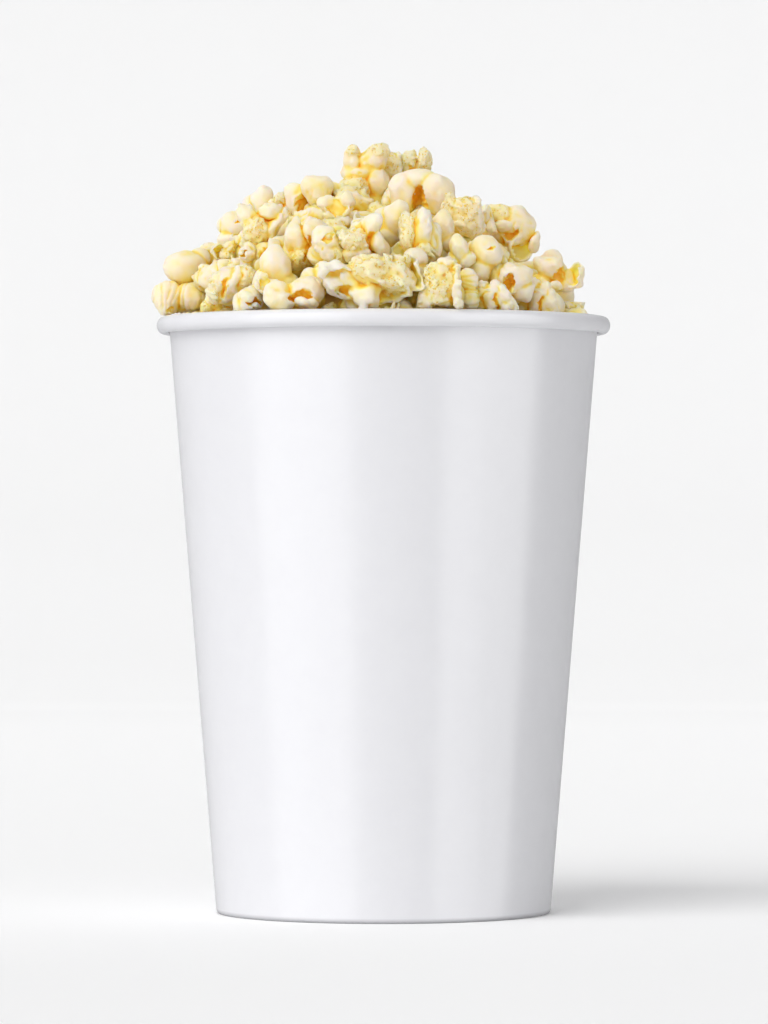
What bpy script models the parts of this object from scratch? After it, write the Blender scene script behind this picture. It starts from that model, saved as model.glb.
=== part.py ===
"""A tall round paper tub heaped with popcorn.

The tub's wall is one conical sheet of board. Its top edge is curled outwards into a rolled rim,
and its bottom edge is folded inwards and up, into a hem that grips the skirt of the base disc.
The popcorn fills the tub from the base disc to a lumpy mound above the rim.

Metres, +Z up. The origin is on the tub's axis, on the surface that it stands on.
"""

import math

import bmesh
import bpy
from mathutils import Vector

# The tub's driving sizes
RIM_RADIUS = 0.088
TUB_HEIGHT = 0.231
FOOT_RADIUS = 0.065
WALL_SLOPE = 0.0798
BOARD = 0.0005
TURN_STEPS = 60

# The rolled rim
RIM_ROLL_HEIGHT = 0.0066
RIM_ROLL_TURN = math.radians(306)
RIM_ROLL_STEPS = 12

# The folded foot, the hem and the base disc whose skirt it grips
GAP = 0.0003
FOLD_HEIGHT = 0.0014
FOLD_ROUND = 0.0005
FOLD_STEPS = 2
HEM_TOP = 0.0085
BASE_LEVEL = 0.0095
SKIRT_BOTTOM = 0.0024
SKIRT_BEND = 0.0008

# The popcorn: a dome of rounded lumps, each about the size of one popped grain. The dome is
# measured outwards from a point on the axis, a little below the rim.
HEART = Vector((0.0, 0.0, 0.226))
DOME_SPREAD = 0.0858
DOME_RISE = 0.0650
DOME_POWER = 1.75
DOME_RINGS = 24
LOWEST_TILT = math.radians(4.6)
CREASE_DEPTH = 0.0062
LUMPS = 88
LUMP_RADIUS = 0.0118
LUMP_VARIETY = 0.14
GOLDEN_TURN = math.pi * (3 - math.sqrt(5))

# Grains that stand out from the rest, as (bearing, tilt, how far beyond the dome, radius)
PROUD_GRAINS = (
    (math.radians(187), math.radians(12), 0.0076, 0.0105),
    (math.radians(197), math.radians(80.5), 0.0072, 0.0105),
    (math.radians(14), math.radians(79.0), 0.0066, 0.0105),
    (math.radians(222), math.radians(52), 0.0028, 0.0125),
)

# The neck where the popcorn passes inside the rim, and the clearance all round it in the tub
NECK_LEVEL = 0.2314
FILL_CLEARANCE = 0.0006


def clear_scene():
    for obj in list(bpy.data.objects):
        bpy.data.objects.remove(obj)


def finish_material(name, colour, roughness):
    material = bpy.data.materials.new(name)
    material.use_nodes = True
    shader = material.node_tree.nodes["Principled BSDF"]
    shader.inputs["Base Color"].default_value = (*colour, 1.0)
    shader.inputs["Roughness"].default_value = roughness
    shader.inputs["Metallic"].default_value = 0.0
    return material


def add_object(name, bm, material):
    """A new object from a bmesh, shaded smooth apart from its sharp folds."""
    mesh = bpy.data.meshes.new(name)
    bm.to_mesh(mesh)
    bm.free()
    mesh.materials.append(material)
    obj = bpy.data.objects.new(name, mesh)
    bpy.context.scene.collection.objects.link(obj)
    return obj


def wall_radius(height):
    """The radius of the wall's outer face at a height above the floor."""
    return FOOT_RADIUS + WALL_SLOPE * height


def sheet_outline(line, thickness):
    """The closed outline of a sheet of even thickness that follows line, with square ends."""
    sides = []
    for a, b in zip(line, line[1:]):
        along = (b - a).normalized()
        sides.append(Vector((along.y, -along.x)))
    near, far = [], []
    for i, point in enumerate(line):
        before = sides[max(i - 1, 0)]
        after = sides[min(i, len(sides) - 1)]
        mitre = (before + after) / (1 + before.dot(after)) * (thickness / 2)
        near.append(point + mitre)
        far.append(point - mitre)
    return far + near[::-1]


def turned(name, outline, material, closed=True):
    """A solid turned about the Z axis from an outline of (radius, height) points."""
    bm = bmesh.new()
    corners = [bm.verts.new((p.x, 0.0, p.y)) for p in outline]
    pairs = list(zip(corners, corners[1:]))
    if closed:
        pairs.append((corners[-1], corners[0]))
    for pair in pairs:
        bm.edges.new(pair)
    obj = add_object(name, bm, material)
    screw = obj.modifiers.new("turn", "SCREW")
    screw.axis = "Z"
    screw.angle = math.tau
    screw.steps = TURN_STEPS
    screw.render_steps = TURN_STEPS
    screw.use_merge_vertices = True
    screw.merge_threshold = 0.00001
    screw.use_smooth_shade = True
    return obj


def rim_curl():
    """The board's middle line round the rolled rim, from the wall over the top to the tucked end."""
    level = TUB_HEIGHT - RIM_ROLL_HEIGHT / 2
    inner = wall_radius(level) - BOARD / 2
    outer = RIM_RADIUS - BOARD / 2
    centre = Vector(((inner + outer) / 2, level))
    across = (outer - inner) / 2
    up = (RIM_ROLL_HEIGHT - BOARD) / 2
    points = []
    for i in range(RIM_ROLL_STEPS + 1):
        turn = math.pi - RIM_ROLL_TURN * i / RIM_ROLL_STEPS
        points.append(centre + Vector((across * math.cos(turn), up * math.sin(turn))))
    return points


def foot_fold():
    """The board's middle line round the folded foot, from the wall under to the hem."""
    outer = FOOT_RADIUS - BOARD / 2
    inner = outer - (2 * BOARD + 2 * GAP)
    bottom = BOARD / 2
    rise = FOLD_HEIGHT - bottom
    quarter = [math.pi / 2 * i / FOLD_STEPS for i in range(FOLD_STEPS + 1)]
    points = [
        Vector((outer - FOLD_ROUND * (1 - math.cos(a)), bottom + rise * (1 - math.sin(a))))
        for a in quarter
    ]
    points += [
        Vector((inner + FOLD_ROUND * (1 - math.sin(a)), bottom + rise * (1 - math.cos(a))))
        for a in quarter
    ]
    return points


def make_tub_wall(material):
    """The conical wall, with its rolled rim and its hem, as one bent sheet of board."""
    hem_radius = FOOT_RADIUS - BOARD / 2 - (2 * BOARD + 2 * GAP)
    hem_end = Vector((hem_radius + WALL_SLOPE * HEM_TOP, HEM_TOP))
    line = rim_curl()[::-1] + foot_fold() + [hem_end]
    return turned("tub_wall", sheet_outline(line, BOARD), material)


def make_tub_base(material):
    """The base disc, with a skirt bent down into the slot between the wall and its hem."""
    middle = FOOT_RADIUS - BOARD / 2 - (BOARD + GAP)
    skirt_end = Vector((middle + WALL_SLOPE * SKIRT_BOTTOM, SKIRT_BOTTOM))
    bend_outer = middle + WALL_SLOPE * (BASE_LEVEL - SKIRT_BEND)
    bend = [
        Vector((bend_outer - SKIRT_BEND * (1 - math.cos(a)), BASE_LEVEL - SKIRT_BEND * (1 - math.sin(a))))
        for a in (0.0, math.pi / 4, math.pi / 2)
    ]
    line = [Vector((0.0, BASE_LEVEL)), *bend[::-1], skirt_end]
    outline = sheet_outline(line, BOARD)
    for end in (outline[0], outline[-1]):
        end.x = 0.0
    return turned("tub_base", outline, material, closed=False)


def dome_reach(tilt):
    """How far the dome's outer surface is from the heart, at a tilt above the horizon."""
    flat = abs(math.cos(tilt) / DOME_SPREAD) ** DOME_POWER
    steep = abs(math.sin(tilt) / DOME_RISE) ** DOME_POWER
    return (flat + steep) ** (-1 / DOME_POWER)


def pointing(bearing, tilt):
    """The unit direction at a bearing round the axis and a tilt above the horizon."""
    return Vector((math.cos(bearing) * math.cos(tilt), math.sin(bearing) * math.cos(tilt), math.sin(tilt)))


def grain_lumps():
    """Each outer grain as a ball (centre from the heart, radius), spread by the golden angle."""
    lumps = [
        (pointing(bearing, tilt) * (dome_reach(tilt) + beyond - radius), radius)
        for bearing, tilt, beyond, radius in PROUD_GRAINS
    ]
    proud = len(lumps)
    for i in range(LUMPS):
        bearing = i * GOLDEN_TURN
        tilt = max(math.asin(1 - (i + 0.5) / LUMPS), LOWEST_TILT * 1.5)
        radius = LUMP_RADIUS * (1 + LUMP_VARIETY * math.sin(3.7 * i))
        centre = pointing(bearing, tilt) * (dome_reach(tilt) - radius)
        if all((centre - other).length > radius for other, _ in lumps[:proud]):
            lumps.append((centre, radius))
    return lumps


def heap_reach(way, tilt, lumps):
    """How far the heap's surface is from the heart in one direction: the furthest lump that way."""
    reach = dome_reach(tilt) - CREASE_DEPTH
    for centre, radius in lumps:
        along = way.dot(centre)
        spare = radius * radius - centre.length_squared + along * along
        if spare > 0:
            reach = max(reach, along + math.sqrt(spare))
    return reach


def ring_of(bm, count, place):
    """A ring of corners, each put where place(bearing) says."""
    return [bm.verts.new(place(math.tau * i / count)) for i in range(count)]


def join_rings(bm, above, below):
    """Faces between two rings of corners whose counts may differ, walking round both together."""
    i = j = 0
    while i < len(below) or j < len(above):
        a, b = below[i % len(below)], above[j % len(above)]
        if i < len(below) and (j == len(above) or (i + 1) * len(above) <= (j + 1) * len(below)):
            bm.faces.new((a, below[(i + 1) % len(below)], b))
            i += 1
        else:
            bm.faces.new((a, above[(j + 1) % len(above)], b))
            j += 1


def make_popcorn_heap(material):
    """The whole filling: a plug inside the tub, under a dome of grains that stands over the rim."""
    lumps = grain_lumps()
    bm = bmesh.new()

    def dome_place(bearing, tilt):
        way = pointing(bearing, tilt)
        return HEART + way * heap_reach(way, tilt, lumps)

    peak = bm.verts.new(dome_place(0.0, math.pi / 2))
    rings = []
    for ring in range(1, DOME_RINGS + 1):
        tilt = math.pi / 2 + (LOWEST_TILT - math.pi / 2) * ring / DOME_RINGS
        rings.append(ring_of(bm, 6 * ring, lambda bearing: dome_place(bearing, tilt)))
    for a, b in zip(rings[0], rings[0][1:] + rings[0][:1]):
        bm.faces.new((peak, a, b))

    full = len(rings[-1])
    for height in (NECK_LEVEL, BASE_LEVEL + BOARD / 2 + GAP):
        radius = wall_radius(height) - BOARD - FILL_CLEARANCE
        rings.append(ring_of(bm, full, lambda bearing: pointing(bearing, 0.0) * radius + Vector((0.0, 0.0, height))))
    for above, below in zip(rings, rings[1:]):
        join_rings(bm, above, below)
    bm.faces.new(rings[-1][::-1])
    bmesh.ops.recalc_face_normals(bm, faces=bm.faces)
    for face in bm.faces:
        face.smooth = True
    return add_object("popcorn_heap", bm, material)


def build():
    clear_scene()
    white_board = finish_material("white_board", (0.90, 0.90, 0.92), 0.42)
    popped_corn = finish_material("popped_corn", (0.88, 0.76, 0.50), 0.62)
    tub = bpy.data.objects.new("popcorn_tub", None)
    bpy.context.scene.collection.objects.link(tub)
    make_tub_wall(white_board).parent = tub
    make_tub_base(white_board).parent = tub
    make_popcorn_heap(popped_corn).parent = tub


build()
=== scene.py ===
"""The looks of a tall white paper tub heaped with popped corn.

The tub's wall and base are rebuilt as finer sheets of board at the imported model's own sizes. The
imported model's single heap is replaced by separate popped grains lying over a smaller core.
"""

from math import cos, hypot, pi, radians, sin, sqrt

import bpy
import numpy as np
import openvdb
from mathutils import Matrix, Vector
from numpy.linalg import norm


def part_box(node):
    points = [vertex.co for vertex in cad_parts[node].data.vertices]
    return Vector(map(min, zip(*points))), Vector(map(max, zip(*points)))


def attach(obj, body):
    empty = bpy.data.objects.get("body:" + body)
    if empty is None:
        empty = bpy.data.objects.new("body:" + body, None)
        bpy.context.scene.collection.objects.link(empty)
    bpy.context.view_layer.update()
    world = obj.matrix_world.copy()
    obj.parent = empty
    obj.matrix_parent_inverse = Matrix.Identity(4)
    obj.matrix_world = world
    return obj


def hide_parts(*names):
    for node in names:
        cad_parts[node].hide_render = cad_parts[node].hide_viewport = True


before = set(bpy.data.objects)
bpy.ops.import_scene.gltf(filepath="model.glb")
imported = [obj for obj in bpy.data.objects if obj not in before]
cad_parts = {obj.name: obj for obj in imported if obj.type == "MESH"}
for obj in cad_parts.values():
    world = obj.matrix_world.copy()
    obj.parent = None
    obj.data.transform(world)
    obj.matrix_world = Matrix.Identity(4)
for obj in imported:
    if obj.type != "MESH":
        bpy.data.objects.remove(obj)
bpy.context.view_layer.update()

MM = 0.001

# The tub, in metres
wall_low, wall_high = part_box("tub_wall")
RIM_RADIUS = (wall_high[0] - wall_low[0]) / 2
TUB_HEIGHT = 0.231
FOOT_RADIUS = 0.065
WALL_SLOPE = 0.0798
BOARD = 0.0005
RIM_ROLL_HEIGHT = 0.0066
RIM_ROLL_TURN = radians(306)
HEM_TOP = 0.0085
BASE_LEVEL = 0.0095
BASE_SKIRT_BOTTOM = 0.0024
FOLD_GAP = 0.0003

# The heap's dome, in millimetres, measured outwards from a point on the axis below the rim. Each
# layer of grains has its middles on a surface that lies inset inside the dome.
HEART_LEVEL = 226.0
DOME_SPREAD = 85.8
DOME_RISE = 65.0
DOME_POWER = 1.75
GOLDEN_TURN = pi * (3 - sqrt(5))
OUTER_GRAINS, OUTER_INSET = 96, 9.0
BETWEEN_TRIES, BETWEEN_INSET = 900, 17.0
UNDER_GRAINS, UNDER_INSET = 90, 23.0
RIM_GRAINS, RIM_GRAINS_RADIUS, RIM_GRAINS_LEVEL = 46, 75.5, 225.5
CORE_INSET = 33.0

# How firmly a listed grain keeps its place, from 0 to 1
LAID_HOLD = 0.97

# The middle of the rolled rim's tube, in millimetres
ROLL_RADIUS, ROLL_LEVEL, ROLL_HALF_HEIGHT = 85.3, 227.7, 3.2

# The camera's place, in metres
CAMERA_DISTANCE = 2.11
CAMERA_LEVEL = 0.148


def link(obj):
    bpy.context.scene.collection.objects.link(obj)
    return obj


def wall_radius(height):
    """The radius of the wall's outer face at a height above the floor, in metres."""
    return FOOT_RADIUS + WALL_SLOPE * height


# Popped grains as distance fields, in millimetres. A grain is a list of steps in order: lobes,
# burst pith and curled flaps are joined on, and hollows are cut away. Its face is towards -Y.

VOXEL = 0.40
FIELD_LIMIT = 3.0
GRAIN_MARGIN = 3.6
FAR = 9.0

# The (height, length) of the ridges that pucker a skin, from broad to fine
PUCKERS = ((0.80, 6.5), (0.50, 3.2), (0.34, 1.9))


def lobe(x, y, z, rx, ry, rz, turn=0, blend=0.6):
    """A swollen smooth lobe: an ellipsoid joined on with a crease about blend wide."""
    return dict(cut="lobe", place=(x, y, z), radii=(rx, ry, rz), turn=turn, blend=blend)


def pith(x, y, z, rx, ry, rz, turn=0):
    """A lobe that burst open, so that its pitted foam is the surface."""
    return dict(cut="pith", place=(x, y, z), radii=(rx, ry, rz), turn=turn, blend=0.4)


def hollow(x, y, z, rx, ry, rz, turn=0):
    """A crumpled amber hollow cut into what is there so far."""
    return dict(cut="hollow", place=(x, y, z), radii=(rx, ry, rz), turn=turn, blend=0.5)


def flap(x, y, z, rx, ry, rz, turn=0, opening=(0, -1, 0), wall=1.2):
    """A thin curled skin with a ragged lip: half a shell, whose open side faces along opening."""
    shell = dict(cut="flap", place=(x, y, z), radii=(rx, ry, rz), turn=turn, blend=0.5)
    return dict(shell, opening=opening, wall=wall)


def crossed_waves(points, seed, length, count=5):
    """A smooth uneven field, from a few crossed waves of about one length."""
    rng = np.random.default_rng(seed)
    total = np.zeros(len(points), np.float32)
    for _ in range(count):
        way = rng.normal(size=3)
        way *= 2 * pi / (length * rng.uniform(0.75, 1.3)) / norm(way)
        total += np.sin(points @ way.astype(np.float32) + np.float32(rng.uniform(0, 2 * pi)))
    return total / sqrt(count)


def nearest_pore(points, pitch, seed):
    """The distance to the nearest pore of a foam with one pore in each cell of a cubic pitch."""
    cell = np.floor(points / pitch).astype(np.int64)
    best = np.full(len(points), FAR, np.float32)
    for k in range(27):
        home = cell + (k // 9 - 1, k // 3 % 3 - 1, k % 3 - 1)
        mix = home[:, 0] * 73856093 ^ home[:, 1] * 19349663 ^ home[:, 2] * 83492791
        mix = (mix ^ seed * 40503) & 0xFFFFFF
        spot = np.stack([(mix * step % 1009) / 1009.0 for step in (1, 331, 577)], 1)
        gap = (home + spot) * pitch - points
        best = np.minimum(best, np.sqrt((gap**2).sum(1)).astype(np.float32))
    return best


def ellipsoid_distance(points, step):
    """The distance to a step's ellipsoid, turned clockwise as seen from the front."""
    a = radians(step["turn"])
    basis = np.array([[cos(a), 0, -sin(a)], [0, 1, 0], [sin(a), 0, cos(a)]], np.float32)
    local = (points - np.array(step["place"], np.float32)) @ basis
    radii = np.array(step["radii"], np.float32)
    near = np.sqrt(((local / radii) ** 2).sum(1)) + 1e-6
    slope = np.sqrt(((local / radii**2) ** 2).sum(1)) + 1e-6
    return near * (near - 1) / slope


def soft_join(a, b, blend):
    """The nearer of two distances, rounded where they meet."""
    h = np.clip(0.5 + 0.5 * (b - a) / blend, 0, 1)
    return b + (a - b) * h - blend * h * (1 - h)


def wins(margin):
    """How far a step has taken over the surface, from 0 to 1."""
    return np.clip(margin / 0.35 + 0.5, 0, 1)


def foam_relief(points, distance, seed):
    """How deep the pits of a burst face are, near that face."""
    relief = np.zeros(len(points), np.float32)
    close = np.abs(distance) < 2.0
    if close.any():
        here = points[close]
        relief[close] = 0.95 * np.clip(1.05 - nearest_pore(here, 2.2, seed), 0, 0.8)
        relief[close] += 0.45 * np.clip(0.75 - nearest_pore(here, 1.3, seed + 9), 0, 0.6)
        relief[close] -= 0.60 * np.abs(crossed_waves(here, seed * 7 + 21, 4.4)) - 0.15
    return relief


def grain_field(points, grain):
    """A grain's distance, and how amber and how foamy its surface is there."""
    seed, bend, rough = grain["seed"], grain.get("bend", 1.0), grain.get("rough", 0.5)

    def waves(number, length):
        return crossed_waves(points, seed * 7 + number, length)

    moved = points.astype(np.float32).copy()
    warps = ((0.85 * bend, 15.0), (0.40 * bend, 7.5), (0.60 * rough, 3.6))
    for axis in range(3):
        for k, (size, length) in enumerate(warps):
            moved[:, axis] += size * waves(axis + 50 * k, length)
    patch = np.clip(0.5 + 0.8 * waves(4, 14.0), 0, 1)
    billow = -0.6 * np.ones(len(points), np.float32)
    for k, (height, length) in enumerate(PUCKERS):
        billow += height * np.abs(waves(3 + 5 * k, length))
    swell = rough * (0.15 + patch) * billow
    if grain.get("folds"):
        depth, length, way = grain["folds"]
        along = points @ (np.array(way, np.float32) / norm(way))
        ridge = np.sin(2 * pi * (along + 1.2 * waves(5, 9.0)) / length)
        swell += depth * (np.abs(ridge) - 0.6)
    distance = np.full(len(points), 30.0, np.float32)
    amber, foam = np.zeros((2, len(points)), np.float32)
    for step in grain["steps"]:
        field = ellipsoid_distance(moved, step)
        if step["cut"] == "lobe":
            field -= swell
            new = wins(distance - field)
            amber, foam = amber * (1 - new), foam * (1 - new)
            distance = soft_join(distance, field, step["blend"])
        elif step["cut"] == "pith":
            field += foam_relief(points, field, seed)
            new = wins(distance - field)
            amber, foam = amber * (1 - new), np.maximum(foam * (1 - new), new)
            distance = soft_join(distance, field, step["blend"])
        elif step["cut"] == "flap":
            way = np.array(step["opening"], np.float32) / norm(step["opening"])
            skin = np.abs(field + step["wall"] / 2) - step["wall"] / 2 - 0.3 * swell
            lip = (moved - np.array(step["place"], np.float32)) @ way
            lip += 0.8 * waves(11, 6.0) + 0.5 * waves(12, 2.8)
            curl = -soft_join(-skin, -lip, 0.3)
            new = wins(distance - curl)
            amber = amber * (1 - new) + new * wins(-(field + step["wall"] * 0.55))
            foam = foam * (1 - new)
            distance = soft_join(distance, curl, step["blend"])
        else:
            field += 0.65 * np.abs(waves(13, 3.6)) - 0.15
            field += 0.35 * np.abs(waves(14, 1.9))
            new = wins(-field - distance)
            amber = np.maximum(amber, new)
            foam *= 1 - new
            distance = -soft_join(-distance, field, step["blend"])
    return distance, amber, foam


def box_blur(grid, reach):
    """The mean over a cube of cells, taken twice."""
    width = 2 * reach + 1
    for _ in range(2):
        for axis in range(3):
            ends = [np.take(grid, [0] * (reach + 1), axis), grid, np.take(grid, [-1] * reach, axis)]
            total = np.cumsum(np.concatenate(ends, axis), axis, dtype=np.float32)
            count = grid.shape[axis]
            upper = np.take(total, range(width, width + count), axis)
            grid = (upper - np.take(total, range(count), axis)) / width
    return grid


def grid_value(grid, low, points):
    """The grid's value at points, between its cells."""
    place = (points - low) / VOXEL
    base = np.clip(np.floor(place).astype(int), 0, np.array(grid.shape) - 2)
    share = np.clip(place - base, 0, 1)
    value = 0
    for corner in range(8):
        step = np.array([corner >> 2 & 1, corner >> 1 & 1, corner & 1])
        at = base + step
        weight = np.prod(np.where(step, share, 1 - share), axis=1)
        value = value + weight * grid[at[:, 0], at[:, 1], at[:, 2]]
    return value


def new_mesh(name, corners, faces):
    """A mesh from an array of corners and arrays of faces, each of one corner count."""
    mesh = bpy.data.meshes.new(name)
    faces = [f for f in faces if len(f)]
    mesh.vertices.add(len(corners))
    mesh.vertices.foreach_set("co", np.asarray(corners, np.float32).ravel())
    mesh.loops.add(sum(f.size for f in faces))
    mesh.loops.foreach_set("vertex_index", np.concatenate([f.ravel() for f in faces]).astype(np.int32))
    mesh.polygons.add(sum(len(f) for f in faces))
    counts = np.concatenate([np.full(len(f), f.shape[1]) for f in faces])
    mesh.polygons.foreach_set("loop_start", (np.cumsum(counts) - counts).astype(np.int32))
    mesh.update(calc_edges=True)
    return mesh


def without_crumbs(places, faces):
    """The largest connected part of a mesh, without the loose crumbs and bubbles about it."""
    part = np.arange(len(places))
    joined = False
    while not joined:
        lowest = part[faces].min(1)
        spread = part.copy()
        for k in range(3):
            np.minimum.at(spread, faces[:, k], lowest)
        spread = spread[spread]
        joined = np.array_equal(spread, part)
        part = spread
    kept = part == np.bincount(part).argmax()
    order = np.cumsum(kept) - 1
    return places[kept], order[faces[kept[faces[:, 0]]]].astype(np.int32)


def thinned(corners, faces, triangles):
    """The same surface in one part, with about that many triangles."""
    mesh = new_mesh("thinning", corners, faces)
    obj = link(bpy.data.objects.new("thinning", mesh))
    thin = obj.modifiers.new("thin", "DECIMATE")
    thin.ratio = min(1.0, triangles / sum(len(f) * (f.shape[1] - 2) for f in faces))
    result = obj.evaluated_get(bpy.context.evaluated_depsgraph_get()).to_mesh()
    result.calc_loop_triangles()
    places = np.empty(3 * len(result.vertices), np.float32)
    result.vertices.foreach_get("co", places)
    corners_of = np.empty(3 * len(result.loop_triangles), np.int32)
    result.loop_triangles.foreach_get("vertices", corners_of)
    bpy.data.objects.remove(obj)
    bpy.data.meshes.remove(mesh)
    return without_crumbs(places.reshape(-1, 3), corners_of.reshape(-1, 3))


def filling_balls(grid, low, count=9):
    """A few balls that fill a grain, used to lay it beside its neighbours."""
    inside = np.argwhere(grid < -1.2)
    depth = -grid[tuple(inside.T)]
    spots = low + inside * VOXEL
    balls = []
    while len(balls) < count and len(depth):
        k = int(depth.argmax())
        balls.append((*spots[k], float(depth[k])))
        apart = norm(spots - spots[k], axis=1) > depth[k] * 1.15
        spots, depth = spots[apart], depth[apart]
    return np.array(balls)


def pop(grain, fine, plain):
    """Meshes one grain: a fine and a plain mesh with the painted shade and amber, and the foam, of each
    corner, and its balls.
    """
    ends = []
    for step in grain["steps"]:
        if step["cut"] in ("lobe", "pith", "flap"):
            middle = np.array(step["place"])
            ends.append([middle - max(step["radii"]), middle + max(step["radii"])])
    ends = np.array(ends)
    low, high = ends[:, 0].min(0) - GRAIN_MARGIN, ends[:, 1].max(0) + GRAIN_MARGIN
    size = np.ceil((high - low) / VOXEL).astype(int) + 1
    axes = [low[i] + VOXEL * np.arange(size[i]) for i in range(3)]
    points = np.stack([g.ravel() for g in np.meshgrid(*axes, indexing="ij")], 1).astype(np.float32)
    grid = grain_field(points, grain)[0].reshape(size)
    volume = openvdb.FloatGrid(FIELD_LIMIT)
    volume.copyFromArray(np.clip(grid, -FIELD_LIMIT, FIELD_LIMIT).astype(np.float32))
    corners, triangles, quads = volume.convertToPolygons(isovalue=0.0, adaptivity=0.0)
    corners = corners * VOXEL + low
    solid = np.clip(0.5 - grid / (2 * VOXEL), 0, 1).astype(np.float32)
    blurs = [box_blur(solid, reach) for reach in (2, 4, 8)]
    popped = dict(balls=filling_balls(grid, low))
    for label, count in (("fine", fine), ("plain", plain)):
        places, faces = thinned(corners, [quads, triangles], count)
        _, amber, foam = grain_field(places, grain)
        pit, valley, bay = [(grid_value(blur, low, places) - 0.5) * 2 for blur in blurs]
        # Painted shade: corners in pits, creases and broad valleys get warmer, deeper amber and bumps
        # paler; the amber of hollows and curl insides deepens the further in they lie.
        painted_shade_and_amber = 0.42 * np.clip(valley + 0.22, 0, 1) / 0.5 + 0.35 * np.clip(bay + 0.25, 0, 1) / 0.5
        hollow_amber_and_shade = amber * np.clip(0.42 + 0.45 * valley, 0.25, 0.55)
        painted_shade_and_amber += 0.35 * np.clip(pit, 0, 1) - 0.3 * np.clip(-pit - 0.22, 0, 1) + hollow_amber_and_shade
        popped[label] = (places, faces, np.clip(painted_shade_and_amber, 0, 1), foam)
    return popped


def form(family, steps, **shape):
    """One form of grain; all the grains of a family are joined into one piece."""
    return dict(family=family, steps=steps, **shape)


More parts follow.
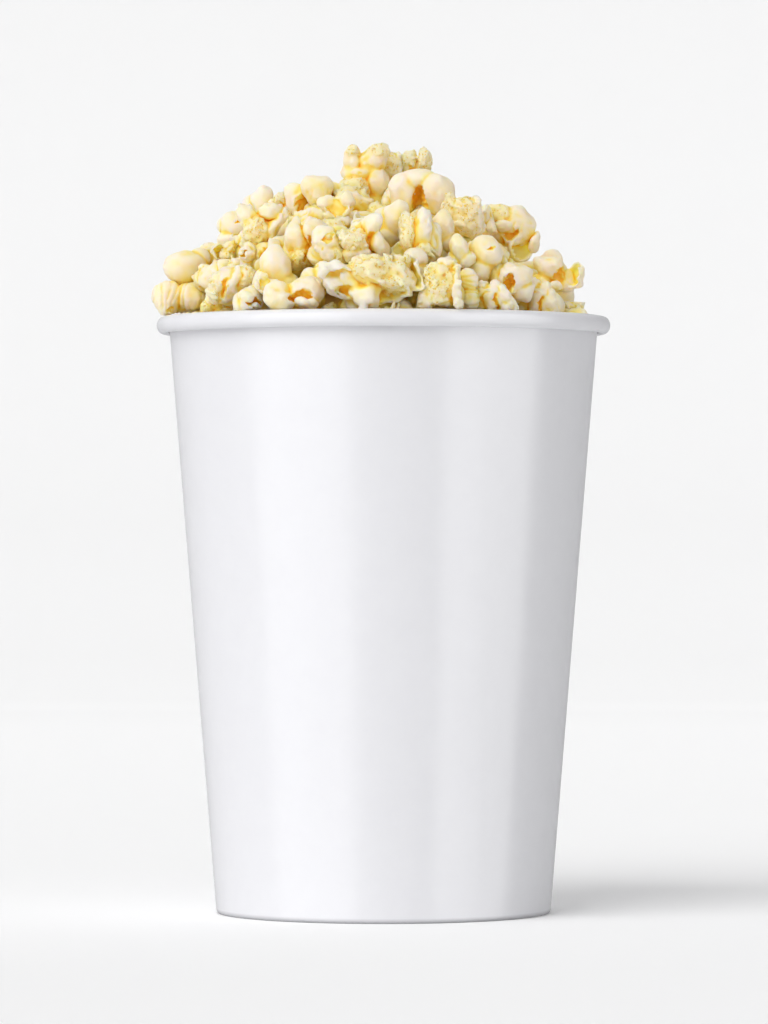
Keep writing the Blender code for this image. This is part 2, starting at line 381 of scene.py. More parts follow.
FORMS = {
    "egg": form("smooth", bend=0.35, rough=0.08, steps=[
        lobe(-1, 0, 0, 10.4, 8, 7.3, -6), lobe(6.5, 3.5, 3, 5.5, 5, 5), lobe(-1, 5, -3, 7, 6, 6),
        lobe(7, 3, -4, 5, 5, 4)]),
    "bean": form("folded", bend=0.5, rough=0.15, folds=(0.55, 5.4, (1, 0, -0.15)), steps=[
        lobe(-5.5, 0, 0.3, 7.4, 6.5, 7), lobe(4.5, 0, 0.8, 8, 6.3, 6, 6), lobe(0, 4, -1, 7, 6, 5),
        lobe(-6, -2.5, -4.6, 3.6, 3, 2.6), hollow(-3, -6, -5.4, 2.9, 3, 1.9, 8)]),
    "arch": form("smooth", bend=0.6, rough=0.15, steps=[
        lobe(-6.8, 0, -1, 5.8, 6, 7.8, 4), lobe(6.2, -2, -1, 7, 6.8, 8.4, 8),
        lobe(0, 1, 4.4, 9.5, 6, 4.2), lobe(0, 5, -2, 8, 4.5, 7),
        hollow(-0.9, -5, -4.5, 3, 7.6, 7.4, 3)]),
    "molar": form("curled", bend=0.6, rough=0.25, steps=[
        lobe(0, 2.5, -1.5, 12.4, 7, 9.4), lobe(-9, 3.5, 2.5, 4.2, 5, 5),
        lobe(9, 4, 2, 4.6, 4.5, 5), hollow(0, -5.4, -3.4, 10.8, 8.6, 7.2),
        lobe(-0.4, -5, 4.4, 6.4, 5, 4.8, 6, 0.3), lobe(0.6, -5.4, -0.2, 4.4, 4.2, 4.6, 12, 3),
        flap(7.6, -3.6, -5.6, 4.2, 3.6, 4.6, 20, opening=(-0.8, -0.6, 0.5), wall=1.4)]),
    "hook": form("curled", rough=0.3, steps=[
        flap(0, -1, 0, 6.2, 6, 6.8, opening=(-0.35, -1, 0.6), wall=1.6), lobe(1, 4, -1, 6, 3.6, 6),
        lobe(-5.5, 4, 3, 4.5, 4.5, 4), lobe(4.8, 3, 5, 4, 4.5, 4),
        lobe(-4, -3.4, -3.8, 2.4, 2.2, 2.2, 0, 0.4)]),
    "crown": form("torn", bend=0.7, rough=0.3, steps=[
        lobe(-3.6, 0, 8, 3.7, 4.5, 4.8, -4), pith(-3.6, -0.6, 11, 3.1, 3.6, 3.2),
        lobe(3.6, 0, 8.2, 5.2, 5, 5.2, 12), pith(5.2, -0.6, 11.4, 4.6, 4.4, 3.6, 20),
        lobe(-0.5, 1, 3.6, 8.4, 6.5, 4.2), pith(-3.4, -1.6, -2.6, 6.2, 6.2, 5.4),
        lobe(5.4, -0.5, -0.6, 4.4, 6, 5.8, 0, 0.3), lobe(3.8, 1, -8.6, 5.8, 6, 6.4, 0, 0.4),
        hollow(0.6, -8, 3.8, 6.2, 2.8, 2, 4)]),
    "tip": form("torn", rough=0.5, steps=[
        pith(-3.5, 0, 0, 4.8, 5.2, 5.4), pith(4.6, 0, 1.5, 3.6, 4.6, 6.8, -14), lobe(0, 3, -4, 8, 6, 5),
        hollow(-0.6, -4.8, -2.4, 2.6, 3, 1.8), lobe(-8, 2, -2, 4, 4.5, 4)]),
    "drop": form("smooth", bend=0.7, rough=0.1, steps=[
        lobe(0, 0, 1.5, 5.4, 5.8, 7.4, 8), lobe(1, -0.2, 5, 4, 4.6, 4.4, 20),
        lobe(-3, 2, -5.4, 5.5, 5, 5), lobe(4, 4, -4, 5, 5, 5), lobe(-4, 5, 2, 5, 5, 5)]),
    "foam": form("torn", rough=0.4, steps=[
        lobe(2.6, 0, 1.5, 5.8, 6.5, 8.6, 4, 0.3), pith(-4.8, -1, 2.4, 3.9, 5.5, 7.6, 10),
        pith(2, -1.6, -7, 6.4, 5.4, 3.4, 10), lobe(7.4, 1, -1, 3, 5, 7.2, 0, 0.3),
        flap(-5.6, -2.5, -6.2, 5, 4.2, 3.8, 0, opening=(0.1, -0.7, 1)), lobe(4, 5, -4, 6, 4, 6)]),
    "oval": form("torn", rough=0.5, steps=[
        lobe(4.6, 1, 0, 3, 5.5, 9.4, 4), pith(0.4, -0.6, 0, 6.2, 6.2, 9.4, 4),
        pith(-5.4, 0.4, 3, 3.6, 4.6, 6.2), lobe(-3.6, 3, -5, 5.6, 5, 5),
        lobe(5.2, 3, -6, 4.2, 4.5, 4)]),
    "cauli": form("curled", rough=0.3, steps=[
        lobe(1.4, 0, 1.5, 8.2, 8, 8.8), pith(-4.6, -1.6, 6.2, 6.2, 5.6, 4.4, -24),
        lobe(-5.5, 2, 0, 5, 6, 6.4), hollow(-1, -8, -2.6, 5.4, 4.4, 2.6, 24),
        lobe(-2.8, -5.8, 1.6, 4.4, 3.6, 3, 0, 0.3),
        flap(4.2, -3.4, -7, 5.4, 5, 5.6, -10, opening=(0.5, -0.75, 0.35)),
        lobe(10.2, -2, -5.2, 2.8, 3.6, 5, -16, 0.3)]),
    "slit": form("smooth", rough=0.1, bend=0.6, steps=[
        lobe(0, 0, 2, 7.6, 7.2, 7.6, -10), lobe(-3, 0, -5.6, 6.4, 6.4, 6.2, -20),
        lobe(5, 5, -3, 4.5, 4.5, 5.5), lobe(-5, 4, 3, 5, 5, 5),
        hollow(2, -6.9, 4.4, 2.8, 1.9, 1, 18)]),
    "shell": form("curled", rough=0.3, steps=[
        lobe(1.5, 1, 1, 7.8, 7.5, 6.8, 28), lobe(6, 2, -5, 5, 5.4, 5.4), lobe(0, 4.5, -6, 6, 4, 5),
        lobe(-6.4, 3, 3, 4.6, 5, 5.4, 20), hollow(-2.4, -5, -3.6, 4, 6.4, 7.4, -36),
        lobe(-6, -2, -7, 3, 4, 3.2, 30, 0.3)]),
    "gape": form("curled", rough=0.25, steps=[
        lobe(-4.2, 0, 3.2, 7.6, 6.5, 5.2, -22), lobe(-7, 1, -3, 5, 5.5, 4.8), lobe(0, 4, -3, 8, 5, 6),
        hollow(2.4, -4.8, -1.4, 4.2, 5.2, 5.2, -30),
        flap(7, -1, -0.8, 5.6, 5.6, 6, -8, opening=(-0.8, -0.75, 0.25), wall=1.5),
        lobe(-1, -3.6, -6.4, 3.4, 3, 2.4, 20, 0.3)]),
    "stripe": form("torn", rough=0.35, steps=[
        lobe(-1.5, 0.5, 0, 8.8, 7.2, 9), pith(-6.8, -1.8, 0, 3.4, 5, 7.8, -5), lobe(0, 4, 0, 8, 5, 8),
        pith(5.6, -0.6, 3.2, 4.8, 5.8, 5.4), lobe(6.2, 0.5, -4.6, 4.2, 5.2, 4.6),
        hollow(-2.8, -7.6, -1.4, 2.1, 3.6, 7, -8), lobe(1.4, -2.8, 1.8, 2.9, 5.2, 6.8, -6, 0.25)]),
    "roll": form("curled", rough=0.3, bend=0.7, steps=[
        lobe(0, 0, 0, 5.9, 6, 6.3), hollow(2.2, -4.8, -1.6, 4.8, 4.8, 3.6, -30),
        lobe(-1.4, -4.4, 1.6, 3.4, 3, 2.6, -34, 0.3), lobe(2.6, -2.6, -3, 2.6, 2.6, 1.6, -30, 0.3),
        lobe(-5, 3, -2, 4.5, 5, 5), lobe(3, 5, 4, 5, 4, 4.5)]),
    "upright": form("smooth", rough=0.1, bend=0.6, steps=[
        lobe(0, 0, 1.5, 6.4, 6.6, 9.2, 4), lobe(3.4, 1, -6, 6, 6, 5), lobe(-4.6, 2.5, -5, 5, 5, 6),
        lobe(0, 5, 3, 5.5, 4, 6), lobe(7.6, -0.5, -5.2, 2.4, 3, 2.2, 0, 0.3)]),
    "snail": form("curled", rough=0.22, steps=[
        lobe(-5.6, 0, -1.6, 6.6, 6.5, 7), lobe(5.2, 0.4, 1.4, 7.4, 6.2, 6.8),
        hollow(3, -5.4, -0.6, 6, 6.2, 3.4, 10), lobe(7.4, -2.6, -3.8, 3.2, 3, 2.6, -20, 0.4),
        lobe(3.6, -4, -3.2, 3.8, 3.4, 2.4, -12, 0.4), lobe(0, 4.5, -1, 8, 4, 5.5)]),
    "twins": form("smooth", rough=0.25, steps=[
        lobe(-4.6, -0.5, 2, 4.5, 5.5, 8.4, 4), lobe(3.8, -1.5, 5, 5.1, 5.5, 6, -8, 0.3),
        lobe(5, 0.6, -3, 4.4, 5, 6.4), pith(-3.4, -1, -6.4, 5.6, 5.2, 4.4, 20), lobe(1, 4, -3, 7, 5, 7),
        hollow(1, -5.8, -3.6, 2.5, 4.2, 7, -12)]),
    "ring": form("curled", rough=0.35, bend=0.8, steps=[
        lobe(0, 0, 0, 6.8, 6.5, 8.4, 18), hollow(0.4, -6.2, 2.6, 2.9, 2.8, 2.9),
        pith(0.6, -3.2, 2.6, 2.2, 2, 2.2), lobe(4.8, 1, 5.4, 4.6, 5, 4.2, 0, 0.35),
        lobe(-2, 4, -5, 6, 5, 5), pith(4.4, -1.6, -5, 3.2, 4.4, 4.8, 20),
        hollow(-2, -7.6, -2.6, 3.4, 2.2, 0.7, 30)]),
    "golden": form("torn", rough=0.3, steps=[
        lobe(-1, 1, -5.6, 7.4, 6.4, 4.8, -10), pith(-2.6, -0.8, -0.6, 7.2, 6.4, 5.2, -12),
        lobe(2, 4.5, 0, 7, 5, 8), lobe(4.6, -0.4, 6.8, 5.2, 5.4, 4.8, 0, 0.35),
        hollow(4, -4.6, 0.8, 2.8, 3.8, 3.4, 24), lobe(8.4, -0.5, -1.5, 3, 4.6, 6.6, 20, 0.3)]),
    "ruffle": form("folded", bend=1.3, rough=0.6, steps=[
        lobe(-8.5, 1, -1, 7, 5.4, 5.6, -20), pith(0.5, -0.8, 4, 7.4, 6.2, 5.4),
        pith(6.8, -0.4, 1, 4.8, 5.8, 5.8), hollow(-8.4, -3.6, -4.4, 4.4, 5.4, 3.4, 0),
        lobe(-1.8, -1.4, -3.6, 5.2, 4.4, 4.6), lobe(0, 4.5, -3, 9, 4, 6.5),
        flap(-8.8, -2.2, 1.6, 6.6, 4.6, 3.6, -26, opening=(0.1, -0.8, -0.7), wall=1.3),
        flap(3.8, -3.2, -3.4, 7.2, 5, 4.8, -14, opening=(-0.1, -1, -0.5), wall=1.2),
        flap(11, -2, 2.4, 3.6, 4.6, 5.8, 20, opening=(-0.5, -1, 0.2), wall=1.2)]),
    "wedge": form("torn", rough=0.6, steps=[
        lobe(1.5, 1.5, 0, 7.6, 6.2, 9.6, 4), pith(-0.6, -0.8, 0.6, 7.6, 6.6, 8.8, 6),
        lobe(7.2, -1.2, -1, 1.5, 5.4, 8.8, 4, 0.2), lobe(-6, 0.5, -5.4, 4.6, 5.2, 4.6),
        lobe(2.4, -0.6, 8.6, 3.8, 3.6, 2.6, 0, 0.3), lobe(3, 4.5, -4, 7, 4.5, 6)]),
    "garlic": form("folded", rough=0.5, bend=1.2, folds=(0.22, 4.2, (1, 0.2, 0.35)), steps=[
        lobe(-6.5, -1, 1, 3.6, 5, 8.6, -16, 0.35), lobe(-1, -3, -0.5, 4.2, 5, 9.6, -8, 0.3),
        lobe(5, -2, -2, 4, 5, 8.6, 22, 0.35), lobe(0, 4, -2, 9, 5, 7),
        lobe(9, 0, -4, 3.2, 4.5, 6, 44, 0.35), hollow(2.4, -7.2, -3.6, 1, 3, 5, 10),
        flap(-2, -4, 5.4, 4.4, 4.2, 3.6, 10, opening=(0, -0.6, 1))]),
    "flake": form("folded", rough=0.3, steps=[
        flap(0, 0, 0, 7, 5, 4.4, 12, opening=(0.2, -1, 0.6), wall=1.4), lobe(-3, 3, -1, 5, 4, 3.6),
        lobe(4, 3, 1, 4, 4, 3)]),
    "puff": form("smooth", rough=0.35, steps=[
        lobe(0, 0, 1, 7.4, 7, 6.2), lobe(5, 2, -4, 5, 5.5, 5), pith(-5, 1, -3.5, 5.5, 5.5, 5),
        hollow(2.2, -6.6, -3.6, 4.2, 2.6, 1, -30), lobe(0, 5, -1, 6, 4.5, 6)]),
    "patch": form("folded", rough=0.5, steps=[
        lobe(-1, 1.5, -2, 6.8, 6, 8.6, -14), pith(-2.4, -1.2, -2, 6.2, 6, 7.8, -14),
        lobe(5.4, -1.6, 0.6, 2.7, 4.8, 9.4, -28, 0.25), lobe(3.6, -1, 8.4, 4.4, 4.5, 3.8),
        lobe(-6, 1, 6.2, 4.6, 5, 4.8), hollow(-2.4, -6.8, 4.4, 1.2, 2.2, 2.6, 12),
        lobe(0, 4.5, 0, 7, 4, 8)]),
    "frill": form("folded", rough=0.5, steps=[
        pith(0, 0, 0, 5.6, 5.2, 5.6), lobe(0, 4, -4, 7, 5, 5), lobe(0.5, -1, 7, 4.8, 5, 4.4),
        flap(-5.6, -1, 1, 6.2, 5.6, 6.6, 0, opening=(0.75, -0.8, 0.2)),
        flap(5.8, -1, -1.5, 6.4, 5.6, 6.8, 0, opening=(-0.7, -0.8, 0.4))]),
    "bloom": form("torn", rough=0.45, steps=[
        lobe(-6.2, 0, 2, 4.8, 5.4, 5.6, -20), lobe(-1, 0.4, 6.6, 5.4, 5.4, 4.4),
        lobe(5.8, 0, 3, 4.6, 5.2, 5.6, 20, 0.3), pith(4, -0.5, -5, 5.4, 5.2, 4.6, -20),
        lobe(-4.4, 0.4, -5.4, 5.2, 5.2, 4.6), lobe(0, 4, 0, 7, 4.5, 7),
        hollow(0, -4.6, 0.4, 3, 4.2, 3.4, 20), lobe(0.2, -2.2, -0.6, 2, 2.6, 2.4, 0, 0.3)]),
}

for seed, known in enumerate(FORMS.values(), 1):
    known["seed"] = seed

# The grains listed for the near side: form, where its middle shows across and up from the
# floor in millimetres, how far it stands out of the dome, its turn and its size
LAID = (
    ("bean", -78.5, 238.3, 1, 0, 0.90),
    ("egg", -76.0, 250.2, -1, -9, 0.84),
    ("puff", -67.0, 253.6, -9, 10, 0.78),
    ("frill", -60.5, 255.0, -5, 20, 0.52),
    ("slit", -56.8, 264.4, -7, -8, 0.74),
    ("drop", -45.2, 273.4, -9, -10, 0.92),
    ("tip", -39.0, 275.8, -7, 0, 0.52),
    ("patch", -47.2, 264.5, -1, 0, 0.86),
    ("roll", -53.0, 255.5, 0, 140, 0.52),
    ("molar", -25.0, 277.0, -1, 0, 0.95),
    ("hook", -18.0, 273.0, 5, 0, 0.72),
    ("crown", -8.0, 283.0, 2, 0, 0.95),
    ("oval", 3.4, 290.0, -6, 0, 0.60),
    ("tip", 11.4, 290.8, -5, 0, 0.80),
    ("arch", 14.7, 278.8, 4, 0, 0.98),
    ("drop", 5.4, 267.0, 3, 0, 0.90),
    ("foam", 13.0, 262.2, 4, 0, 0.92),
    ("upright", 22.5, 264.5, 0, 4, 0.72),
    ("slit", 12.5, 248.5, -2, 150, 0.72),
    ("oval", 31.0, 269.8, -1, 0, 0.86),
    ("flake", 40.5, 269.0, 0, 80, 0.72),
    ("cauli", 49.6, 264.8, -1, 0, 0.90),
    ("slit", 40.2, 254.0, 4, 0, 0.84),
    ("upright", 29.8, 256.5, 3, -10, 0.58),
    ("shell", 49.6, 245.4, 6.5, 0, 0.86),
    ("gape", 67.3, 247.2, 0, 0, 0.84),
    ("flake", 74.0, 235.4, 1, 10, 0.52),
    ("stripe", -58.4, 243.2, 3, 0, 0.88),
    ("puff", -66.0, 236.6, 4, 0, 0.46),
    ("roll", -51.4, 238.0, 8, 0, 0.80),
    ("hook", -45.6, 243.8, 7, 40, 0.48),
    ("upright", -41.6, 249.0, 3, 0, 0.92),
    ("snail", -35.2, 239.6, 5, 0, 0.92),
    ("twins", -30.4, 259.2, 3, 0, 0.92),
    ("ring", -21.6, 259.2, 5, 0, 0.86),
    ("golden", -9.0, 260.5, 3, 0, 0.90),
    ("slit", -24.5, 246.0, -3, 60, 0.60),
    ("ruffle", -4.5, 244.2, 4, 0, 1.22),
    ("wedge", 23.0, 243.8, 4, 0, 0.92),
    ("garlic", 41.2, 239.0, 3, 0, 0.74),
    ("garlic", 60.5, 237.6, 2, 20, 0.80),
    ("bean", 33.4, 241.5, 1, 84, 0.62),
)


def dome_radius(level, inset):
    """How wide the dome is at a level, for a surface that lies inset inside it; in millimetres."""
    share = np.clip((level - HEART_LEVEL) / (DOME_RISE - inset), 0, 1)
    return (DOME_SPREAD - inset) * (1 - share**DOME_POWER) ** (1 / DOME_POWER)


def dome_reach(way):
    """How far the dome is from its heart along unit directions (an array of rows)."""
    flat = np.hypot(way[:, 0], way[:, 1]) / DOME_SPREAD
    steep = np.abs(way[:, 2]) / DOME_RISE
    return (flat**DOME_POWER + steep**DOME_POWER) ** (-1 / DOME_POWER)


def depth_in_dome(points):
    """How deep points lie under the dome's surface, in millimetres."""
    arm = points - np.array([0, 0, HEART_LEVEL])
    length = norm(arm, axis=1) + 1e-6
    return dome_reach(arm / length[:, None]) - length


def facing(outward, turn):
    """A rotation that points a grain's face along outward, after a turn about that face's middle."""
    out = Vector(outward).normalized()
    side = out.cross(Vector((0, 0, 1)))
    side = side.normalized() if side.length > 1e-3 else Vector((1, 0, 0))
    up = side.cross(out)
    basis = Matrix((side, -out, up)).transposed()
    return np.array(basis @ Matrix.Rotation(turn, 3, "Y"))


def slump(way):
    """How much lower the heap lies than the dome towards one direction, in millimetres."""
    side = np.clip(way[0] / (hypot(way[0], way[1]) + 1e-6), 0, 1)
    shoulder = np.clip(1.5 - abs(way[2] - 0.52) / 0.30, 0, 1)
    return 9.0 * side * shoulder


def laid_grains():
    """The listed grains, each seen face on by the camera."""
    grains = []
    distance, level = CAMERA_DISTANCE / MM, CAMERA_LEVEL / MM
    for form, across, up, stand, turn, size in LAID:
        y = 0.0
        for _ in range(3):
            nearer = (distance + y) / distance
            x, z = across * nearer, level + (up - level) * nearer
            ring = dome_radius(z, OUTER_INSET)
            y = -sqrt(max(ring**2 - x**2, 0.0)) - stand
        spin = np.array(Matrix.Rotation(radians(turn), 3, "Y"))
        place = np.array([x, y, z])
        grains.append(dict(form=form, place=place, spin=spin, size=size, held=LAID_HOLD, layer="laid"))
    return grains


def spiral_ways(count, lowest, start):
    """Directions spread evenly over a dome by the golden angle, from its top down to lowest."""
    up = 1 - (np.arange(count) + 0.5) / count * (1 - lowest)
    flat = np.sqrt(np.clip(1 - up * up, 0, 1))
    bearing = np.arange(count) * GOLDEN_TURN + start
    return np.stack([flat * np.cos(bearing), flat * np.sin(bearing), up], 1)


def on_dome(way, inset):
    """The point towards way on a surface that lies inset inside the slumped dome."""
    flat = hypot(way[0], way[1]) / (DOME_SPREAD - inset)
    steep = abs(way[2]) / (DOME_RISE - inset)
    reach = (flat**DOME_POWER + steep**DOME_POWER) ** (-1 / DOME_POWER)
    return way * (reach - slump(way)) + (0, 0, HEART_LEVEL)


def spread_grains(laid, rng):
    """The outer grains of the far side, and the layers that show between and under the others."""
    forms = [name for name in FORMS if name not in ("crown", "molar", "flake", "egg")]
    order, grains = [], []
    taken = [g["place"] for g in laid]

    def lay(way, place, layer, smallest):
        if not order:
            order.extend(forms)
        form = order.pop(int(rng.integers(len(order))))
        outward = way * (1 / DOME_SPREAD, 1 / DOME_SPREAD, 1 / DOME_RISE) + rng.normal(size=3) * 0.0035
        spin = facing(outward, rng.uniform(0, 2 * pi))
        size = rng.uniform(smallest, smallest + 0.18)
        grains.append(dict(form=form, place=place, spin=spin, size=size, held=0.0, layer=layer))
        taken.append(place)

    for way in spiral_ways(OUTER_GRAINS, -0.02, 0.0):
        near_edge = np.clip((45 - abs(on_dome(way, OUTER_INSET)[1])) / 25, 0, 1)
        place = on_dome(way, OUTER_INSET + 3.5 * near_edge)
        if place[1] > 12 or all(norm((place - g["place"])[[0, 2]]) > 13 for g in laid):
            lay(way, place, "outer", 0.86)
    for way in spiral_ways(BETWEEN_TRIES, -0.04, 1.0):
        place = on_dome(way, BETWEEN_INSET)
        if place[1] < 20 and min(norm(place - other) for other in taken) > 11.0:
            lay(way, place, "between", 0.70)
    for k in range(RIM_GRAINS):
        turn = 2 * pi * k / RIM_GRAINS
        way = np.array([cos(turn), sin(turn), 0.0])
        inner_row = k % 2
        level = RIM_GRAINS_LEVEL + 3.0 * inner_row
        place = way * (RIM_GRAINS_RADIUS - 5.0 * inner_row) + (0, 0, level)
        if min(norm(place - other) for other in taken) > 8:
            lay(way, place, "between", 0.70)
    for way in spiral_ways(UNDER_GRAINS, -0.10, 2.0):
        place = on_dome(way, UNDER_INSET)
        if min(norm(place - other) for other in taken) > 9:
            lay(way, place, "under", 0.86)
    return grains


def grain_balls(grain, popped):
    """The middles and radii of the balls that fill a grain where it lies."""
    balls = popped[grain["form"]]["balls"]
    middles = balls[:, :3] * grain["size"] @ grain["spin"].T + grain["place"]
    return middles, balls[:, 3] * grain["size"]


def settle(grains, popped, rounds=70, bite_limit=6, touch=0.5, homing=0.03):
    """Eases overlapping grains apart, and keeps them inside the tub's wall and near the dome.

    Each round moves a grain by the mean of its balls' pushes, the deepest weighing most, and a
    little way back to where it was laid. Balls may stay touch millimetres into each other.
    """
    owner, middles, radii = [], [], []
    for k, grain in enumerate(grains):
        m, r = grain_balls(grain, popped)
        owner += [k] * len(r)
        middles.append(m)
        radii.append(r)
    owner = np.array(owner)
    radii = np.concatenate(radii)
    start = np.concatenate(middles)
    homes = np.array([g["place"] for g in grains])
    held = np.array([g["held"] for g in grains])
    inner = np.array([g["layer"] in ("between", "under") for g in grains])
    shift = np.zeros_like(homes)
    i, j = np.triu_indices(len(owner), 1)
    apart = (owner[i] != owner[j]) & (norm(start[i] - start[j], axis=1) < radii[i] + radii[j] + 9)
    i, j = i[apart], j[apart]
    ease = 1 - held[:, None] * np.array([1.0, 0.80, 1.0])
    for _ in range(rounds):
        now = start + shift[owner]
        gap = now[j] - now[i]
        length = norm(gap, axis=1) + 1e-6
        bite = np.clip(radii[i] + radii[j] - touch - length, 0, bite_limit)
        push = gap / length[:, None] * (bite * 0.5)[:, None]
        move = np.zeros_like(homes)
        weight = np.zeros(len(grains)) + 1e-6
        np.add.at(move, owner[j], push * bite[:, None])
        np.add.at(move, owner[i], -push * bite[:, None])
        np.add.at(weight, owner[j], bite)
        np.add.at(weight, owner[i], bite)
        ring = np.hypot(now[:, 0], now[:, 1])
        room = wall_radius(now[:, 2] * MM) / MM - 1.2 - radii - ring
        inside = np.where(now[:, 2] < TUB_HEIGHT / MM + 1, np.clip(-room, 0, bite_limit), 0)
        roll = np.stack([ring - ROLL_RADIUS, now[:, 2] - ROLL_LEVEL], 1)
        off = norm(roll, axis=1) + 1e-6
        reach = np.clip(radii + ROLL_HALF_HEIGHT - off, 0, bite_limit)
        rim = np.where(now[:, 2] >= TUB_HEIGHT / MM + 1, reach, 0)
        outward = now[:, :2] / (ring[:, None] + 1e-6)
        wall = np.zeros_like(now)
        wall[:, :2] = -outward * inside[:, None] + outward * (roll[:, 0] / off * rim)[:, None]
        wall[:, 2] = roll[:, 1] / off * rim
        arm = now - (0, 0, HEART_LEVEL)
        far = norm(arm, axis=1) + 1e-6
        over = np.clip(radii - depth_in_dome(now) - touch, 0, bite_limit) * (1 - held[owner])
        wall -= arm / far[:, None] * over[:, None]
        size = norm(wall, axis=1)
        np.add.at(move, owner, wall * size[:, None])
        np.add.at(weight, owner, size)
        home = -homing * shift * (1 + inner[:, None])
        shift += (move / weight[:, None] * 0.9 + home) * ease
    for grain, by in zip(grains, shift):
        grain["place"] = grain["place"] + by
    final = start + shift[owner]
    for k, grain in enumerate(grains):
        near = (norm(final - grain["place"], axis=1) < 24) & (owner != k)
        grain["beside"] = (final[near], radii[near])


def joined_grains(name, grains, popped, rng):
    """All the grains of one family as one mesh, with their painted shade and amber, foam, tone and depth.

    A corner close to a neighbour gets more painted shade, warmer and deeper amber. Grains inside the tub
    are pressed in at its wall.
    """
    corners, faces, fields, count = [], [], [[], [], [], []], 0
    neck, closeness, contact_shade = 232, 4.5, 0.32
    for grain in grains:
        hidden = grain["layer"] in ("between", "under")
        places, tris, painted_shade_and_amber, foam = popped[grain["form"]]["plain" if hidden else "fine"]
        stretch = 1 + rng.uniform(-0.05, 0.05, 3)
        here = (places * stretch * grain["size"]) @ grain["spin"].T + grain["place"]
        if hidden:
            room = (wall_radius(here[:, 2] * MM) / MM - 1.0) / np.hypot(here[:, 0], here[:, 1])
            here[:, :2] *= np.where(here[:, 2] < neck, np.minimum(room, 1), 1)[:, None]
        corners.append(here * MM)
        faces.append(tris + count)
        count += len(places)
        # How deep a corner lies under the dome; the finish paints deeper corners darker amber as shade.
        depth = np.clip((depth_in_dome(here) - 9) / 22, 0, 1)
        middles, radii = grain["beside"]
        gap = np.full(len(here), FAR)
        for middle, radius in zip(middles, radii):
            gap = np.minimum(gap, norm(here - middle, axis=1) - radius)
        # Painted shade: corners within a few millimetres of a neighbouring grain get warmer, deeper amber,
        # standing in for the shade where grains crowd.
        painted_shade_and_amber = painted_shade_and_amber + contact_shade * np.clip(1 - gap / closeness, 0, 1) ** 1.5
        for field, values in zip(fields, (painted_shade_and_amber, foam, np.full(len(places), rng.uniform()), depth)):
            field.append(values)
    mesh = new_mesh(name, np.concatenate(corners), [np.concatenate(faces)])
    for label, field in zip(("painted_shade_and_amber", "foam", "tone", "depth"), fields):
        layer = mesh.attributes.new(label, "FLOAT", "POINT")
        layer.data.foreach_set("value", np.concatenate(field).astype(np.float32))
    mesh.shade_smooth()
    return link(bpy.data.objects.new(name, mesh))


def make_core():
    """The lumpy heap under the grains, filling the tub down to its base disc."""
    rng = np.random.default_rng(5)
    around, rings, lump_count, least_reach = 96, 30, 70, 30.0
    base, levels = BASE_LEVEL / MM + 1.0, (214.0, 120.0, 30.0)
    lumps = []
    for i in range(lump_count):
        up = 1 - (i + 0.5) / lump_count
        flat = sqrt(1 - up * up)
        bearing = i * GOLDEN_TURN
        scale = ((flat / (DOME_SPREAD - CORE_INSET)) ** 2 + (up / (DOME_RISE - CORE_INSET)) ** 2) ** -0.5
        way = np.array([flat * cos(bearing), flat * sin(bearing), up])
        lumps.append((way * scale, rng.uniform(8, 10.5)))
    corners = []
    for k in range(rings):
        tilt = pi / 2 * (1 - (k + 0.5) / rings)
        for a in range(around):
            turn = 2 * pi * a / around
            flat = cos(tilt)
            way = np.array([cos(turn) * flat, sin(turn) * flat, sin(tilt)])
            reach = least_reach
            for centre, radius in lumps:
                along = way @ centre
                spare = radius**2 - centre @ centre + along**2
                if spare > 0:
                    reach = max(reach, along + sqrt(spare))
            corners.append(way * reach + (0, 0, HEART_LEVEL - 6))
    for level in (*levels, base):
        radius = wall_radius(level * MM) / MM - 1.6
        for a in range(around):
            turn = 2 * pi * a / around
            corners.append(np.array([cos(turn) * radius, sin(turn) * radius, level]))
    total = rings + len(levels) + 1
    faces = []
    for k in range(total - 1):
        for a in range(around):
            b = (a + 1) % around
            faces.append((k * around + a, (k + 1) * around + a, (k + 1) * around + b, k * around + b))
    corners.append(np.array([0, 0, corners[0][2] + 0.5]))
    corners.append(np.array([0, 0, base]))
    top, bottom = len(corners) - 2, len(corners) - 1
    caps = [(top, a, (a + 1) % around) for a in range(around)]
    last = (total - 1) * around
    caps += [(bottom, last + (a + 1) % around, last + a) for a in range(around)]
    mesh = new_mesh("popcorn_core", np.array(corners) * MM, [np.array(faces), np.array(caps)])
    mesh.shade_smooth()
    return link(bpy.data.objects.new("popcorn_core", mesh))


# The tub

TURN_STEPS = 180
LAP_BEARING = radians(64)
LAP_FADE = radians(34)
LAP_STEP = 0.00042


def sheet_outline(line, thickness):
    """The closed outline of a sheet of even thickness that follows line, with square ends."""
    sides = []
    for a, b in zip(line, line[1:]):
        along = (b - a).normalized()
        sides.append(Vector((along.y, -along.x)))
    near, far = [], []
    for i, point in enumerate(line):
        before = sides[max(i - 1, 0)]
        after = sides[min(i, len(sides) - 1)]
        mitre = (before + after) / (1 + before.dot(after)) * (thickness / 2)
        near.append(point + mitre)
        far.append(point - mitre)
    return far + near[::-1]


def rim_curl(steps):
    """The board's middle line round the rolled rim, from the wall over the top to the tucked end."""
    level = TUB_HEIGHT - RIM_ROLL_HEIGHT / 2
    inner = wall_radius(level) - BOARD / 2
    outer = RIM_RADIUS - BOARD / 2
    centre = Vector(((inner + outer) / 2, level))
    across, up = (outer - inner) / 2, (RIM_ROLL_HEIGHT - BOARD) / 2
    turns = [pi - RIM_ROLL_TURN * i / steps for i in range(steps + 1)]
    return [centre + Vector((across * cos(t), up * sin(t))) for t in turns]


